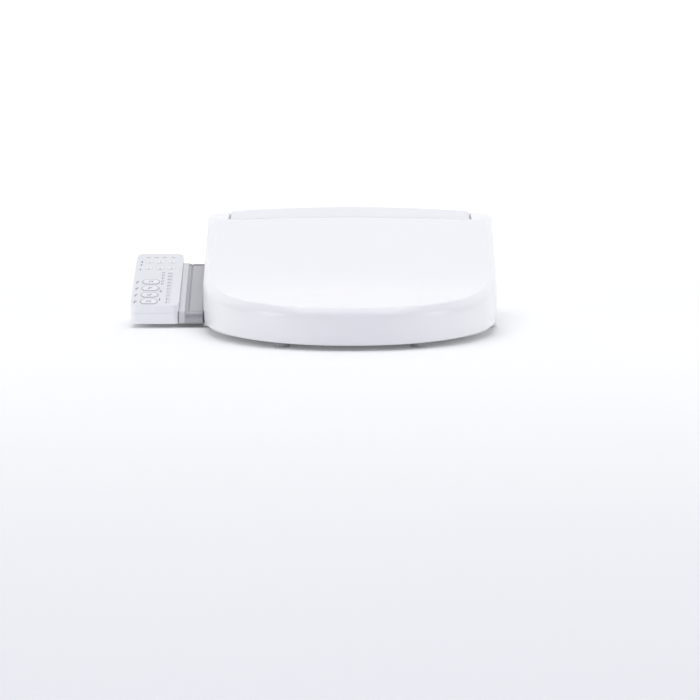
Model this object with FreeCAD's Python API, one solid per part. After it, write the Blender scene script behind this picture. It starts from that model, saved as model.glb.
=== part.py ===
import FreeCAD, Part
import math
import os

# Electric bidet seat for an elongated toilet bowl, closed, its control panel at the user's right hand.
# Frame: millimetres, +Z up, front towards -Y, origin midway between the two deck bolt holes, on the deck.

os.makedirs("parts", exist_ok=True)
V = FreeCAD.Vector

# ---- driving dimensions ----------------------------------------------------------------------
bolt_spacing = 140.0        # between the toilet's two deck bolts
bolt_hole_radius = 4.3      # clears an M8 deck bolt

lid_tip_y = -474.0          # foremost point of the lid
lid_half = 193.5            # half width of the lid where its front curve ends
lid_curve_y = -214.0        # where that curve ends
side_taper = 0.027          # the sides open this much per millimetre towards the rear
front_power = 2.15          # superellipse power of the front outlines
lid_wall = 3.0
lid_front_z = 51.5          # height of the lid's top at the tip
lid_rear_y = -36.0          # rear edge of the lid, between its ears
lid_slope = 0.34            # slope that the lid's top tends to at the rear
lid_bend_at = 175.0         # distance behind the tip of the middle of the bend
lid_bend_width = 130.0

axis_y = 2.0                # hinge axis shared by seat and lid
axis_z = 128.0
ear_radius = 17.5           # the lid's ears are round about the hinge axis
ear_inner = 168.5
pin_radius = 4.0
pin_fit = 0.05              # radial running fit on the pins

strip_half = 167.5          # half width of the unit's raised middle
strip_front_y = -34.5
back_y = 56.0
unit_half = 195.5           # half width of the unit at its front corners
wing_front_y = -193.0       # front faces of the unit's two wings
nose_half = 95.0            # half width of the middle part that carries the wand
nose_front_y = -140.0
case_wall = 2.5
base_z = 2.0
split_z = 34.0              # parting of base tray and top cover
shelf_top = 36.8

seat_half = 184.0
seat_tip_y = -466.0
seat_curve_y = -230.0
seat_rear_y = -134.0
seat_wall = 2.5
arm_x = (168.8, 179.0)      # the seat's two hinge arms

wand_radius = 8.0
wand_length = 160.0
wand_travel = 100.0
wand_tilt = math.radians(30.0)
wand_tip = (-135.0, 14.0)   # y and z of the resting tip
pinion_radius = 7.0         # pitch radius
pinion_at = 50.0            # distance of the pinion behind the wand's tip
pinion_teeth = 10

dryer_x = (-82.0, -38.0)        # warm air outlet in the nose
intake_x = (38.0, 82.0)         # deodoriser intake in the nose
cartridge_y = (-120.0, -80.0)
cartridge_z = (9.0, 30.0)
button_y = (14.0, 34.0)
button_z = (9.0, 23.0)
drain_place = (-32.0, 17.0)     # y and z of the drain plug, on the +X flank
inlet_place = (-162.0, 15.0)    # x and z of the water inlet, in a pocket at the rear
spigot_radius = 10.48           # outside of a G1/2 thread
gland_place = (150.0, 20.0)     # x and z of the mains cord's gland
screw_places = [(-175, -178), (175, -178), (-108, -178), (108, -178), (-125, 45), (174, 44)]
blower_centre = (-12.0, 64.0)   # y and z of the dryer's wheel
fan_centre = (128.0, -148.0)    # x and y of the deodoriser's wheel

panel_x = (-292.0, -228.0)
panel_front = (-198.0, 29.5)    # y and z of the face's front edge
panel_rear = (-78.0, 90.0)      # y and z of the face's rear edge
panel_foot_z = 5.0
panel_wall = 2.2
panel_split = 9.0           # depth of the upper case below the face
panel_slope = math.atan2(panel_rear[1] - panel_front[1], panel_rear[0] - panel_front[0])
wash_key_size = (21.3, 10.6, 0.7)   # length, width and height above the face
small_key_size = (9.4, 6.4, 0.5)
wash_keys = [(-268.3, 10.5 + 16.6 * i) for i in range(4)]   # middles: x and distance up the face
small_keys = [(x, p) for p in (95.8, 112.4) for x in (-273.8, -258.5, -243.2)]
lens_x = (-246.2, -239.8)
lens_run = (6.0, 84.0)

gap = 0.3                   # clearance between pieces that move past each other


# ---- shapes used throughout ------------------------------------------------------------------
def save(name, *solids):
    """One node: a single solid, or a group of separate ones."""
    shape = solids[0] if len(solids) == 1 else Part.makeCompound(list(solids))
    shape.exportStep("parts/" + name + ".step")


def box(x0, x1, y0, y1, z0, z1):
    return Part.makeBox(x1 - x0, y1 - y0, z1 - z0, V(x0, y0, z0))


def rod(radius, start, end):
    """Round bar between two points."""
    a = V(*start)
    b = V(*end)
    return Part.makeCylinder(radius, (b - a).Length, a, b - a)


def pipe(outer, inner, start, end):
    return rod(outer, start, end).cut(rod(inner, start, end))


def joined(first, *others):
    return first.fuse(list(others)).removeSplitter()


def both_sides(solid):
    """The solid and its mirror image in the middle plane X = 0."""
    return [solid, solid.mirror(V(0, 0, 0), V(1, 0, 0))]


def corner_wire(corners, place):
    """Closed outline through (a, b, radius) corners, rounded by arcs; place turns (a, b) into a point."""
    count = len(corners)
    ends = []
    for i, (a, b, radius) in enumerate(corners):
        here = V(a, b, 0)
        back = (V(corners[i - 1][0], corners[i - 1][1], 0) - here).normalize()
        ahead = (V(corners[(i + 1) % count][0], corners[(i + 1) % count][1], 0) - here).normalize()
        half = back.getAngle(ahead) / 2
        reach = radius / math.tan(half)
        inward = (back + ahead).normalize()
        middle = here + inward * (radius / math.sin(half) - radius)
        ends.append((here + back * reach, middle, here + ahead * reach, radius))
    edges = []
    for i, (start, middle, end, radius) in enumerate(ends):
        if radius > 0:
            edges.append(Part.Arc(place(start), place(middle), place(end)).toShape())
        following = ends[(i + 1) % count][0]
        if (following - end).Length > 1e-6:
            edges.append(Part.LineSegment(place(end), place(following)).toShape())
    return Part.Wire(edges)


def side_prism(corners, x0, x1):
    """Outline in Y and Z, carried from x0 to x1."""
    wire = corner_wire(corners, lambda p: V(x0, p.x, p.y))
    return Part.Face(wire).extrude(V(x1 - x0, 0, 0))


def plan_prism(corners, z0, z1):
    """Outline in X and Y, carried from z0 to z1."""
    wire = corner_wire(corners, lambda p: V(p.x, p.y, z0))
    return Part.Face(wire).extrude(V(0, 0, z1 - z0))


def smooth_edge(points):
    curve = Part.BSplineCurve()
    curve.interpolate(points)
    return curve.toShape()


def horseshoe(half, tip_y, curve_y, rear_y, taper, z0, z1):
    """Rounded front, near-straight sides opening by taper, square rear; carried from z0 to z1."""
    depth = curve_y - tip_y
    steps = 12
    right = []
    for i in range(steps + 1):
        turn = math.pi / 2 * i / steps
        y = curve_y - depth * math.sin(turn) ** (2 / front_power)
        x = (half + taper * (y - curve_y)) * math.cos(turn) ** (2 / front_power)
        right.append((x, y))
    right[-1] = (0.0, tip_y)
    points = [V(x, y, z0) for x, y in right] + [V(-x, y, z0) for x, y in reversed(right[:-1])]
    rear_half = half + taper * (rear_y - curve_y)
    start = V(half, curve_y, z0)
    end = V(-half, curve_y, z0)
    rear_right = V(rear_half, rear_y, z0)
    rear_left = V(-rear_half, rear_y, z0)
    wire = Part.Wire([smooth_edge(points), Part.LineSegment(end, rear_left).toShape(),
                      Part.LineSegment(rear_left, rear_right).toShape(),
                      Part.LineSegment(rear_right, start).toShape()])
    return Part.Face(wire).extrude(V(0, 0, z1 - z0))


def oval(half_x, half_y, centre_y, power, z0, z1):
    """Closed superellipse carried from z0 to z1."""
    points = []
    steps = 40
    for i in range(steps):
        turn = 2 * math.pi * i / steps
        c = math.cos(turn)
        s = math.sin(turn)
        x = half_x * math.copysign(abs(c) ** (2 / power), c)
        y = centre_y + half_y * math.copysign(abs(s) ** (2 / power), s)
        points.append(V(x, y, z0))
    curve = Part.BSplineCurve()
    curve.interpolate(points, PeriodicFlag=True)
    return Part.Face(Part.Wire([curve.toShape()])).extrude(V(0, 0, z1 - z0))


def hose(points, radius):
    """Round hose along straight runs joined by tangent arcs as wide as the runs allow."""
    path = []
    corner = [V(*p) for p in points]
    last = corner[0]
    for i in range(1, len(corner) - 1):
        back = corner[i - 1] - corner[i]
        ahead = corner[i + 1] - corner[i]
        reach = 0.45 * min(back.Length, ahead.Length)
        back.normalize()
        ahead.normalize()
        half = back.getAngle(ahead) / 2
        bend = reach * math.tan(half)
        middle = corner[i] + (back + ahead).normalize() * (bend / math.sin(half) - bend)
        path.append(Part.LineSegment(last, corner[i] + back * reach).toShape())
        path.append(Part.Arc(corner[i] + back * reach, middle, corner[i] + ahead * reach).toShape())
        last = corner[i] + ahead * reach
    path.append(Part.LineSegment(last, corner[-1]).toShape())
    ring = Part.Wire([Part.Circle(corner[0], corner[1] - corner[0], radius).toShape()])
    return Part.Wire(path).makePipeShell([ring], True, False)


# ---- outlines that several pieces share ------------------------------------------------------
def lid_top(y):
    """Height of the lid's top: nearly level at the front, bending up into a straight slope."""
    def bend(u):
        return ((u - lid_bend_at) + math.hypot(u - lid_bend_at, lid_bend_width)) / 2
    return lid_front_z + lid_slope * (bend(y - lid_tip_y) - bend(0.0))


def seat_top(y):
    """Height of the seat's sitting face, in two slopes."""
    if y < -300:
        return 40.0 + (y - seat_tip_y) * 2.0 / 166.0
    return 42.0 + (y + 300) * 21.0 / 166.0


def unit_outline(inset, z0, z1):
    """Plan of the unit: two wings reaching forward past the wand nose."""
    side = unit_half - inset
    rear = unit_half + 2.5 - inset
    corners = [(-side, wing_front_y + inset, 6), (-nose_half - inset, wing_front_y + inset, 12),
               (-nose_half - inset, nose_front_y + inset, 8), (nose_half + inset, nose_front_y + inset, 8),
               (nose_half + inset, wing_front_y + inset, 12), (side, wing_front_y + inset, 6),
               (rear, back_y - inset, 20 - inset), (-rear, back_y - inset, 20 - inset)]
    return plan_prism(corners, z0, z1)


def tangent_point(y, z, radius, below):
    """Where a line from (y, z) touches the circle about the hinge axis, above it or below it."""
    far = math.hypot(axis_y - y, axis_z - z)
    swing = math.asin(radius / far)
    heading = math.atan2(axis_z - z, axis_y - y) + (-swing if below else swing)
    run = math.sqrt(far ** 2 - radius ** 2)
    return (y + run * math.cos(heading), z + run * math.sin(heading))


# ---- lid -------------------------------------------------------------------------------------
def lid_side(drop, radius):
    """Side view of the space under the lid's top, from far below up to drop under the surface."""
    x0 = -220.0
    ys = [lid_tip_y - 6 + (lid_rear_y - lid_tip_y + 6) * i / 11 for i in range(12)]
    top = smooth_edge([V(x0, y, lid_top(y) - drop) for y in ys])
    corner = (lid_rear_y, lid_top(lid_rear_y) - drop)
    crest = tangent_point(corner[0], corner[1], radius, False)
    shoulder = V(x0, axis_y + radius * math.cos(0.7), axis_z + radius * math.sin(0.7))
    end = V(x0, axis_y + radius, axis_z)
    front = V(x0, ys[0], lid_top(ys[0]) - drop)
    floor = [V(x0, axis_y + 40, axis_z), V(x0, axis_y + 40, -20), V(x0, ys[0], -20)]
    edges = [top, Part.LineSegment(V(x0, *corner), V(x0, *crest)).toShape(),
             Part.Arc(V(x0, *crest), shoulder, end).toShape(),
             Part.LineSegment(end, floor[0]).toShape(), Part.LineSegment(floor[0], floor[1]).toShape(),
             Part.LineSegment(floor[1], floor[2]).toShape(), Part.LineSegment(floor[2], front).toShape()]
    return Part.Face(Part.Wire(edges)).extrude(V(440, 0, 0))


def lid_skirt_limit():
    """Side view of what lies below the skirt's lower edge, which is cut away."""
    wing = (wing_front_y - 0.5, 59.5)
    low = tangent_point(wing[0], wing[1], ear_radius, True)
    corners = [(lid_tip_y - 20, -30, 0), (lid_tip_y - 20, 6, 0), (lid_tip_y + 170, 11, 200),
               (wing[0] - 1.5, 12.5, 0), (wing[0] - 1.5, wing[1] - 2, 0), (wing[0], wing[1], 0),
               (low[0], low[1], 0), (low[0], -30, 0)]
    return side_prism(corners, -220, 220)


def behind_ear():
    """What lies behind the round rear of the ears, which is cut away."""
    block = box(-220, 220, axis_y, axis_y + 50, -30, axis_z + 0.001)
    return block.cut(rod(ear_radius, (-230, axis_y, axis_z), (230, axis_y, axis_z)))


def lid_inner():
    """The hollow under the lid."""
    plan = horseshoe(lid_half - lid_wall, lid_tip_y + lid_wall, lid_curve_y, 60, side_taper, -20, 170)
    return plan.common(lid_side(lid_wall, ear_radius - lid_wall))


def make_lid():
    plan = horseshoe(lid_half, lid_tip_y, lid_curve_y, 60, side_taper, -20, 170)
    shell = plan.common(lid_side(0.0, ear_radius)).cut(behind_ear())
    shell = shell.cut(lid_inner()).cut(lid_skirt_limit())
    shell = shell.cut(box(-ear_inner, ear_inner, lid_rear_y, 80, -30, 170))
    wall_x = lid_half + side_taper * (axis_y - lid_curve_y) - lid_wall + 0.5
    for side in (-1, 1):
        boss = rod(9, (side * 180, axis_y, axis_z), (side * wall_x, axis_y, axis_z))
        shell = shell.fuse(boss)
        bore = rod(pin_radius + pin_fit, (side * 170, axis_y, axis_z), (side * 190.5, axis_y, axis_z))
        shell = shell.cut(bore)
    save("lid_shell", shell.removeSplitter())
    buffers = []
    for x, y in ((110, -370), (148, -235)):
        stub = rod(6, (x, y, seat_top(y + 6) + 0.6), (x, y, 120))
        buffers += both_sides(stub.common(lid_inner()))
    save("lid_buffers", *buffers)


# ---- seat ------------------------------------------------------------------------------------
def seat_block(inset):
    """The ring of the seat, or its hollow when inset."""
    ring = horseshoe(seat_half - inset, seat_tip_y + inset, seat_curve_y, seat_rear_y - inset, 0.0, -5, 90)
    side = [(seat_tip_y - 10, 8 - inset * 4, 0), (seat_tip_y - 10, 40 - inset, 0), (-300, 42 - inset, 250),
            (seat_rear_y + 5, 63.6 - inset, 0), (seat_rear_y + 5, 39 - inset * 4, 0),
            (wing_front_y - 5 - inset, 39 - inset * 4, 0), (wing_front_y - 5 - inset, 8 - inset * 4, 0)]
    return ring.common(side_prism(side, -200, 200)).cut(oval(103 + inset, 122 + inset, -282, 2.3, -10, 100))


def seat_arm():
    """Arm from the rear of the ring up to the hinge axis, on the +X side."""
    x0, x1 = arm_x
    corners = [(-1.2, 134.2, 0), (-131.2, 68.2, 12), (-150, 58, 6), (-150, 45, 2), (-136, 45, 4),
               (-124.8, 55.8, 6), (5.2, 121.8, 0)]
    arm = side_prism(corners, x0, x1).fuse(rod(10.5, (x0, axis_y, axis_z), (x1, axis_y, axis_z)))
    return arm.cut(rod(pin_radius + pin_fit, (x0 - 1, axis_y, axis_z), (x1 + 1, axis_y, axis_z)))


def make_seat():
    hollow = seat_block(seat_wall)
    arms = both_sides(seat_arm())
    shell = seat_block(0.0).cut(hollow)
    save("seat_top_shell", joined(shell, *arms))
    # the lower shell closes the hollow, following its step over the unit's wings
    step = wing_front_y - 5 - seat_wall
    band = side_prism([(seat_tip_y, 8, 0), (seat_tip_y, 10.5, 0), (step - seat_wall, 10.5, 0),
                       (step - seat_wall, 41.5, 0), (seat_rear_y, 41.5, 0), (seat_rear_y, 39, 0),
                       (step, 39, 0), (step, 8, 0)], -200, 200)
    lower = hollow.common(band)
    for arm in arms:
        lower = lower.cut(arm)
    save("seat_bottom_shell", lower)
    foil = hollow.cut(hollow.translated(V(0, 0, -0.8)))
    foil = foil.common(box(-200, 200, seat_tip_y, -165, 30, 70))
    for arm in arms:
        foil = foil.cut(arm)
    save("seat_heater", foil)
    pads = []
    for x, y in ((84, -424), (146, -285)):
        pads += both_sides(rod(9, (x, y, 0), (x, y, 8)))
    save("seat_buffers", *pads)


# ---- mounting plate and its bolt adapters ----------------------------------------------------
def make_mount():
    plate = box(-100, 100, -50, 50, 0, 5).fuse(box(-111.5, 111.5, -50, 50, 5, 9))
    adapters = []
    for side in (-1, 1):
        x = side * bolt_spacing / 2
        plate = plate.cut(box(x - 14, x + 14, -30, 30, -1, 10))
        block = box(x - 13.9, x + 13.9, -18, 18, 0, 9).fuse(box(x - 20, x + 20, -20, 20, 9, 12))
        adapters.append(block.cut(rod(bolt_hole_radius, (x, 0, -1), (x, 0, 13))).removeSplitter())
    # ribs and the nose that the unit's catch holds
    ribs = [box(-40, -36, -46, 46, 9, 11), box(36, 40, -46, 46, 9, 11)]
    plate = joined(plate, box(-30, 30, -50, -46, 9, 12), *ribs)
    save("mounting_plate", plate)
    save("bolt_adapters", *adapters)


# ---- base tray -------------------------------------------------------------------------------


def make_base():
    tray = unit_outline(0.0, base_z, split_z).cut(unit_outline(case_wall, base_z + case_wall, split_z + 1))
    tunnel = box(-115, 115, -57.5, back_y - 0.5, base_z, 18.5)
    pocket = box(-189.5, -134.5, 25.5, back_y - 0.5, base_z, 33.8)
    tray = tray.fuse(tunnel).fuse(pocket.common(unit_outline(0.0, base_z, split_z)))
    # the tunnel is open below and behind, so that the unit slides forward off its plate
    tray = tray.cut(box(-101, 101, -55, 80, -1, 16)).cut(box(-112.5, 112.5, -55, 80, 4.5, 16))
    tray = tray.cut(box(-187, -137, 28, 80, -1, 31.3))
    tray = tray.cut(rod(11, (inlet_place[0], 20, inlet_place[1]), (inlet_place[0], 30, inlet_place[1])))
    tray = tray.cut(rod(7, (gland_place[0], 50, gland_place[1]), (gland_place[0], 60, gland_place[1])))
    # wand port, dryer outlet and intake slots in the nose
    tray = tray.cut(box(-12, 12, nose_front_y - 1, -118, 0, 26))
    tray = tray.cut(box(dryer_x[0], dryer_x[1], nose_front_y - 1, nose_front_y + 3, 8, 30))
    for i in range(5):
        x = intake_x[0] + 2 + i * 9
        tray = tray.cut(box(x, x + 4, nose_front_y - 1, nose_front_y + 3, 9, 29))
    # openings in the +X flank for cartridge, release button and drain plug
    for (y0, y1), (z0, z1) in ((cartridge_y, cartridge_z), (button_y, button_z)):
        tray = tray.cut(box(188, 200, y0 - 0.4, y1 + 0.4, z0 - 0.4, z1 + 0.4))
    tray = tray.cut(rod(8.4, (188, drain_place[0], drain_place[1]), (202, drain_place[0], drain_place[1])))
    # pads that carry the tank and the power supply, and the posts of the case screws
    tray = tray.fuse([box(70, 80, -40, 40, 18.5, 22), box(100, 110, -40, 40, 18.5, 22)])
    for x, y in screw_places:
        tray = tray.fuse(rod(4.5, (x, y, base_z + 1), (x, y, split_z - 0.2)))
        tray = tray.cut(rod(1.4, (x, y, base_z), (x, y, split_z)))
        tray = tray.cut(rod(3.3, (x, y, base_z), (x, y, base_z + 1.6)))
    save("base_tray", tray.removeSplitter())
    pads = []
    for x, y in ((145, -172), (165, 10)):
        pads += both_sides(rod(8, (x, y, 0), (x, y, base_z)))
    save("unit_feet", *pads)


def make_screws():
    screws = []
    for x, y in screw_places:
        shank = rod(1.4, (x, y, base_z + 1), (x, y, base_z + 16))
        screws.append(shank.fuse(rod(3.2, (x, y, base_z), (x, y, base_z + 1.6))))
    return screws


# ---- top cover and fascia --------------------------------------------------------------------
def middle_outline(inset, low):
    """Side view of the raised middle behind the lid."""
    front = strip_front_y + inset
    rear = back_y - inset
    return [(front, low, 0), (front, 138.9 - inset, 0), (14, 149.9 - inset, 60),
            (rear, 147.2 - inset, 14 - inset), (rear, low, 0)]


def make_cover():
    middle = side_prism(middle_outline(0.0, split_z + 0.3), -strip_half, strip_half)
    middle = middle.cut(side_prism(middle_outline(case_wall, 0.0), -165, 165))
    middle = middle.cut(box(-165, 165, -40, -31, 0, 126.5))
    floor = split_z + 0.3
    flank = [(-130, floor, 0), (-130, 56, 0), (-112, 66, 20), (-33, 131.2, 0), (-33, floor, 0)]
    flanks = both_sides(side_prism(flank, 165, strip_half))
    shoulder = [(26, split_z + 0.3, 0), (26, 134, 8), (back_y, 134, 14), (back_y, split_z + 0.3, 0)]
    hollow = [(28.5, 0, 0), (28.5, 131.5, 6), (back_y - 2.5, 131.5, 11.5), (back_y - 2.5, 0, 0)]
    full = unit_outline(0.0, 0, 160)
    inside = unit_outline(case_wall, 0, 160)
    shoulders = both_sides(side_prism(shoulder, strip_half - 0.5, 200).common(full))
    hollows = both_sides(side_prism(hollow, strip_half, 200).common(inside))
    cheek = [(wing_front_y, split_z + 0.3, 0), (wing_front_y, 58, 5), (-2, 107.5, 30), (30, 107.5, 0),
             (30, split_z + 0.3, 0)]
    rim = full.cut(unit_outline(lid_wall, -1, 161)).common(side_prism(cheek, -205, 205))
    rim = rim.common(box(-205, -185, -200, 60, 0, 160).fuse(box(185, 205, -200, 60, 0, 160)))
    shelf = unit_outline(0.0, split_z + 0.3, shelf_top).cut(box(-165, 165, -127.5, back_y - 2.5, 0, 60))
    cover = middle.fuse(flanks + shoulders + [rim])
    for hollow_solid in hollows:
        cover = cover.cut(hollow_solid)
    cover = cover.fuse(shelf)
    # hangers that hold the dampers, and the pin holes
    for side in (-1, 1):
        x = side * 127
        cover = cover.fuse(box(x - 12, x + 12, axis_y - 4, axis_y + 4, axis_z + 10, 146.5))
    hole = pin_radius + pin_fit / 2
    cover = cover.cut(rod(hole, (-170, axis_y, axis_z), (-160, axis_y, axis_z)))
    cover = cover.cut(rod(hole, (160, axis_y, axis_z), (170, axis_y, axis_z)))
    save("top_cover", cover.removeSplitter())


def make_fascia():
    outer = [(-34.8, shelf_top, 0), (-34.8, 129.7, 0), (-112, 66, 20), (-130, 56, 4), (-130, shelf_top, 0)]
    inner = [(-30, 20, 0), (-30, 130.7, 0), (-110.6, 63.9, 17), (-127.5, 54.5, 2), (-127.5, 20, 0)]
    fascia = side_prism(outer, -164.8, 164.8).cut(side_prism(inner, -170, 170))
    save("front_fascia", fascia)


# ---- hinge pins and dampers ------------------------------------------------------------------
def make_hinges():
    pins = []
    for side in (-1, 1):
        pins.append(rod(pin_radius, (side * 148, axis_y, axis_z), (side * 190, axis_y, axis_z)))
    save("hinge_pins", *pins)
    for name, side in (("seat_damper", -1), ("lid_damper", 1)):
        barrel = rod(10, (side * 106, axis_y, axis_z), (side * 148, axis_y, axis_z))
        cap = rod(8, (side * 102, axis_y, axis_z), (side * 106, axis_y, axis_z))
        save(name, barrel.fuse(cap).removeSplitter())


# ---- wand, its cradle, rack drive and hose ---------------------------------------------------
def along(x, u, n):
    """Point at u behind the wand's tip along its axis, n above the axis, x to the side."""
    c = math.cos(wand_tilt)
    s = math.sin(wand_tilt)
    return (x, wand_tip[0] + u * c - n * s, wand_tip[1] + u * s + n * c)


def tilted_box(x0, x1, u0, u1, n0, n1):
    """Block set along the wand's axis."""
    block = box(x0, x1, u0, u1, n0, n1)
    block.rotate(V(0, 0, 0), V(1, 0, 0), math.degrees(wand_tilt))
    return block.translated(V(0, wand_tip[0], wand_tip[1]))


def toothed_wheel(radius, teeth, depth, x0, x1, centre):
    """Spur wheel on an axis along X, its teeth as plain blocks."""
    wheel = rod(radius - depth / 2, (x0, centre[1], centre[2]), (x1, centre[1], centre[2]))
    for i in range(teeth):
        tooth = box(x0, x1, -0.7, 0.7, radius - depth, radius + depth / 2)
        tooth.rotate(V(0, 0, 0), V(1, 0, 0), 360.0 * i / teeth)
        wheel = wheel.fuse(tooth.translated(V(0, centre[1], centre[2])))
    return wheel.removeSplitter()


def make_wand():
    barrel = rod(wand_radius, along(0, 14, 0), along(0, wand_length, 0))
    rack = tilted_box(-2.5, 2.5, 28, wand_length, 7, 11)
    pitch = 2 * math.pi * pinion_radius / pinion_teeth
    for i in range(29):
        u = pinion_at - 1.1 + (i - 4) * pitch
        rack = rack.cut(tilted_box(-3, 3, u, u + 2.2, 9.6, 12))
    save("wand_barrel", barrel.fuse(rack).removeSplitter())
    tip = rod(wand_radius, along(0, 4, 0), along(0, 14, 0)).fuse(rod(6, along(0, 0, 0), along(0, 5, 0)))
    for u in (7, 11):
        tip = tip.cut(rod(1, along(0, u, 3), along(0, u, 9)))
    save("wand_tip", tip.removeSplitter())
    cradle = tilted_box(-11, 11, 20, 150, -11, 4).cut(tilted_box(-8.6, 8.6, 10, 170, -8.6, 10))
    feet = [box(-9, -5, -112, -104, 4.5, 40), box(5, 9, -112, -104, 4.5, 40),
            box(-9, -5, -52, -44, 18.5, 80), box(5, 9, -52, -44, 18.5, 80)]
    for foot in feet:
        cradle = cradle.fuse(foot.cut(tilted_box(-20, 20, -20, 190, -9, 40)))
    save("wand_cradle", cradle.removeSplitter())
    centre = along(0, pinion_at, 11.4 + pinion_radius)
    wheel = toothed_wheel(pinion_radius, pinion_teeth, 2.0, -2.5, 2.5, centre)
    wheel.rotate(V(*centre), V(1, 0, 0), math.degrees(wand_tilt))
    axle = rod(1.5, (2.5, centre[1], centre[2]), (9.5, centre[1], centre[2]))
    save("wand_pinion", wheel.fuse(axle).removeSplitter())
    body = rod(11, (12, centre[1], centre[2]), (36, centre[1], centre[2]))
    nose = pipe(4, 1.6, (9, centre[1], centre[2]), (12, centre[1], centre[2]))
    stand = box(14, 34, centre[1] - 6, centre[1] + 6, 4.5, centre[2] - 8)
    save("wand_motor", body.fuse([nose, stand]).removeSplitter())
    rear = along(0, wand_length, 0)
    bend = along(0, wand_length + 14, 0)
    save("wand_hose", hose([rear, bend, (0, 29, 84), (0, 29, 66), (15.8, 29, 66)], 3))


# ---- water side ------------------------------------------------------------------------------
def make_water():
    x, z = inlet_place
    body = box(-185, -137, -30, 25, 6, 33).cut(rod(7, (x, -28, z), (x, 30, z)))
    neck = pipe(10.9, 7, (x, 25, z), (x, 28.3, z))
    spigot = pipe(spigot_radius, 7, (x, 28.3, z), (x, 54, z))
    save("inlet_valve", body.fuse([neck, spigot]).removeSplitter())
    save("valve_solenoid", rod(9, (-137, -12, 19.5), (-118, -12, 19.5)))
    tank = box(62, 160, -50, 48, 22, 92)
    tank = tank.makeFillet(8, [e for e in tank.Edges if abs(e.Vertexes[0].Z - e.Vertexes[1].Z) > 60])
    hollow = box(65, 157, -47, 45, 25, 89)
    y, z = drain_place
    spout = pipe(7, 5.3, (160, y, z), (183.6, y, z)).fuse(box(160, 168, y - 8, y + 8, z - 9, 30))
    spout = spout.cut(rod(5.3, (159, y, z), (184, y, z)))
    save("water_tank", joined(tank.cut(hollow), spout))
    save("tank_heater", hose([(90, -47, 40), (90, 30, 40), (130, 30, 40), (130, -47, 40)], 3.5))
    valve = box(16, 46, 12, 46, 44, 80)
    ports = [rod(5, (20, 29, 66), (15.8, 29, 66)), rod(5, (46, 29, 72), (50, 29, 72))]
    save("diverter_valve", joined(valve, *ports))
    save("diverter_motor", joined(rod(12, (31, 29, 80), (31, 29, 98)), box(19, 43, 24, 34, 80, 84)))
    cold = hose([(-137, 10, 26.5), (-95, 10, 26.5), (-35, 30, 26.5), (62, 30, 26.5)], 4)
    warm = hose([(62, 10, 84), (54, 10, 84), (54, 29, 84), (54, 29, 72), (50, 29, 72)], 2.5)
    save("water_hoses", cold, warm)
    plug = rod(8, (184, y, z), (196.5, y, z)).cut(box(194.5, 198, y - 6, y + 6, z - 1, z + 1))
    save("drain_plug", joined(plug, rod(5, (175, y, z), (184, y, z))))


# ---- dryer -----------------------------------------------------------------------------------
def wheel_of_blades(radius, hub, x0, x1, blades, turn_axis, centre):
    """Squirrel-cage wheel: hub, back plate and a ring of blades, first made on the Z axis."""
    width = x1 - x0
    wheel = pipe(hub + 2, hub, (0, 0, 0), (0, 0, width)).fuse(pipe(radius, hub, (0, 0, 0), (0, 0, 1.5)))
    for i in range(blades):
        blade = box(radius - 7, radius, -0.5, 0.5, 0, width)
        blade.rotate(V(radius - 3, 0, 0), V(0, 0, 1), 30)
        blade.rotate(V(0, 0, 0), V(0, 0, 1), 360.0 * i / blades)
        wheel = wheel.fuse(blade)
    if turn_axis == "x":
        wheel.rotate(V(0, 0, 0), V(0, 1, 0), 90)
        return wheel.translated(V(x0, centre[0], centre[1])).removeSplitter()
    return wheel.translated(V(centre[0], centre[1], x0)).removeSplitter()


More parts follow.
